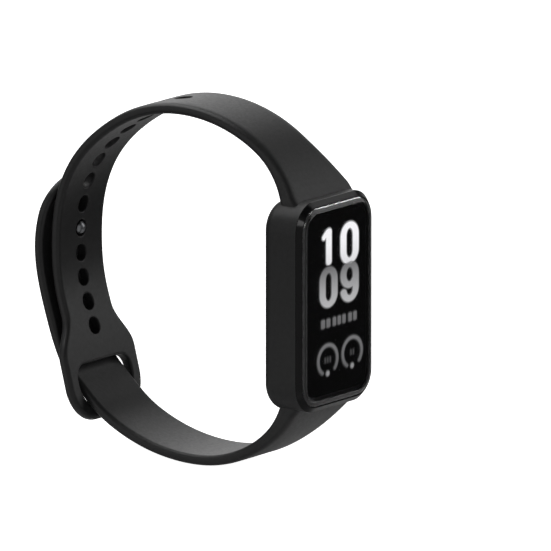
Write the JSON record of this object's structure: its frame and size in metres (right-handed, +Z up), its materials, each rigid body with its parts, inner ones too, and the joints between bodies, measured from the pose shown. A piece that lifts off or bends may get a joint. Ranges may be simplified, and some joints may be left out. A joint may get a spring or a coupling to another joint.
{
  "type": "fitness tracker band",
  "caption": "Wrist band with a rectangular touch-screen tracker on a closed two-piece strap: holed side ending in a loop, plain side with a stud on its tail.",
  "frame": {"origin": "the middle of the wrist opening, half way between the tracker's back and the far side of the strap, level with the tracker's middle", "axes": "+X along the wrist, through the opening; +Z up the tracker's long side; -Y the way the screen faces"},
  "size_m": [0.0264, 0.0684, 0.0731],
  "materials": {
    "cover_glass": "polished, curved at its edges",
    "gloss_bezel": "polished",
    "case_plastic": "fine matte",
    "strap_silicone": "matte silicone",
    "clear_adhesive": "clear",
    "display_black": "gloss",
    "white_tray": "matte",
    "sheet_steel": "brushed",
    "amber_film": "satin",
    "battery_foil": "satin",
    "foam": "matte",
    "lead_red": "satin",
    "board_green": "solder mask",
    "chip_black": "matte",
    "socket_cream": "matte",
    "gold_plate": "bright plating",
    "magnet": "plated",
    "rotor_metal": "satin",
    "led_clear": "clear",
    "sensor_lens": "polished",
    "stud_metal": "satin",
    "spring_steel": "bright"
  },
  "bodies": {
    "band": {"cover_glass": "cover_glass", "glass_gasket": "foam", "bezel_ring": "gloss_bezel", "case_body": "case_plastic", "display_adhesive": "clear_adhesive", "display_panel": "display_black", "backlight_tray": "white_tray", "display_flex": "amber_film", "inner_frame": "sheet_steel", "battery_cell": "battery_foil", "battery_pad": "foam", "battery_lead": "lead_red", "motor_can": "sheet_steel", "motor_base": "board_green", "motor_magnet": "magnet", "main_board": "board_green", "board_screws": "spring_steel", "shield_can": "sheet_steel", "processor_chip": "chip_black", "board_chips": "chip_black", "board_connectors": "socket_cream", "antenna_strip": "gold_plate", "sensor_board": "board_green", "sensor_leds": "led_clear", "photodiodes": "chip_black", "sensor_barrier": "foam", "sensor_window": "sensor_lens", "rear_cover": "case_plastic", "rear_seal": "foam", "charge_contacts": "gold_plate", "dock_magnets": "magnet", "strap_tongues": "case_plastic", "upper_spring": "spring_steel", "lower_spring": "spring_steel", "hole_strap": "strap_silicone", "plain_strap": "strap_silicone"},
    "tail": {"strap_tail": "strap_silicone", "stud_pin": "stud_metal", "stud_cap": "stud_metal"},
    "upper_button": {"upper_button": "case_plastic"},
    "lower_button": {"lower_button": "case_plastic"},
    "rotor": {"motor_rotor": "rotor_metal"}
  },
  "joints": [
    {"name": "tail_peel", "type": "hinge", "parent": "band", "child": "tail", "pos_m": [0, 0.02557, -0.01798], "axis": [-1, 0, 0], "range_deg": [0, 55], "stiffness_Nm_per_rad": 0.003},
    {"name": "upper_button_press", "type": "slide", "parent": "band", "child": "upper_button", "axis": [0, -0.8138, 0.5811], "range_m": [0, 0.0007], "stiffness_N_per_m": 400, "deforming": ["upper_spring"]},
    {"name": "lower_button_press", "type": "slide", "parent": "band", "child": "lower_button", "axis": [0, -0.7833, -0.6217], "range_m": [0, 0.0007], "stiffness_N_per_m": 400, "deforming": ["lower_spring"]},
    {"name": "motor_spin", "type": "hinge", "parent": "band", "child": "rotor", "pos_m": [-0.0052, -0.0313, 0.0116], "axis": [0, 1, 0], "continuous": true}
  ]
}
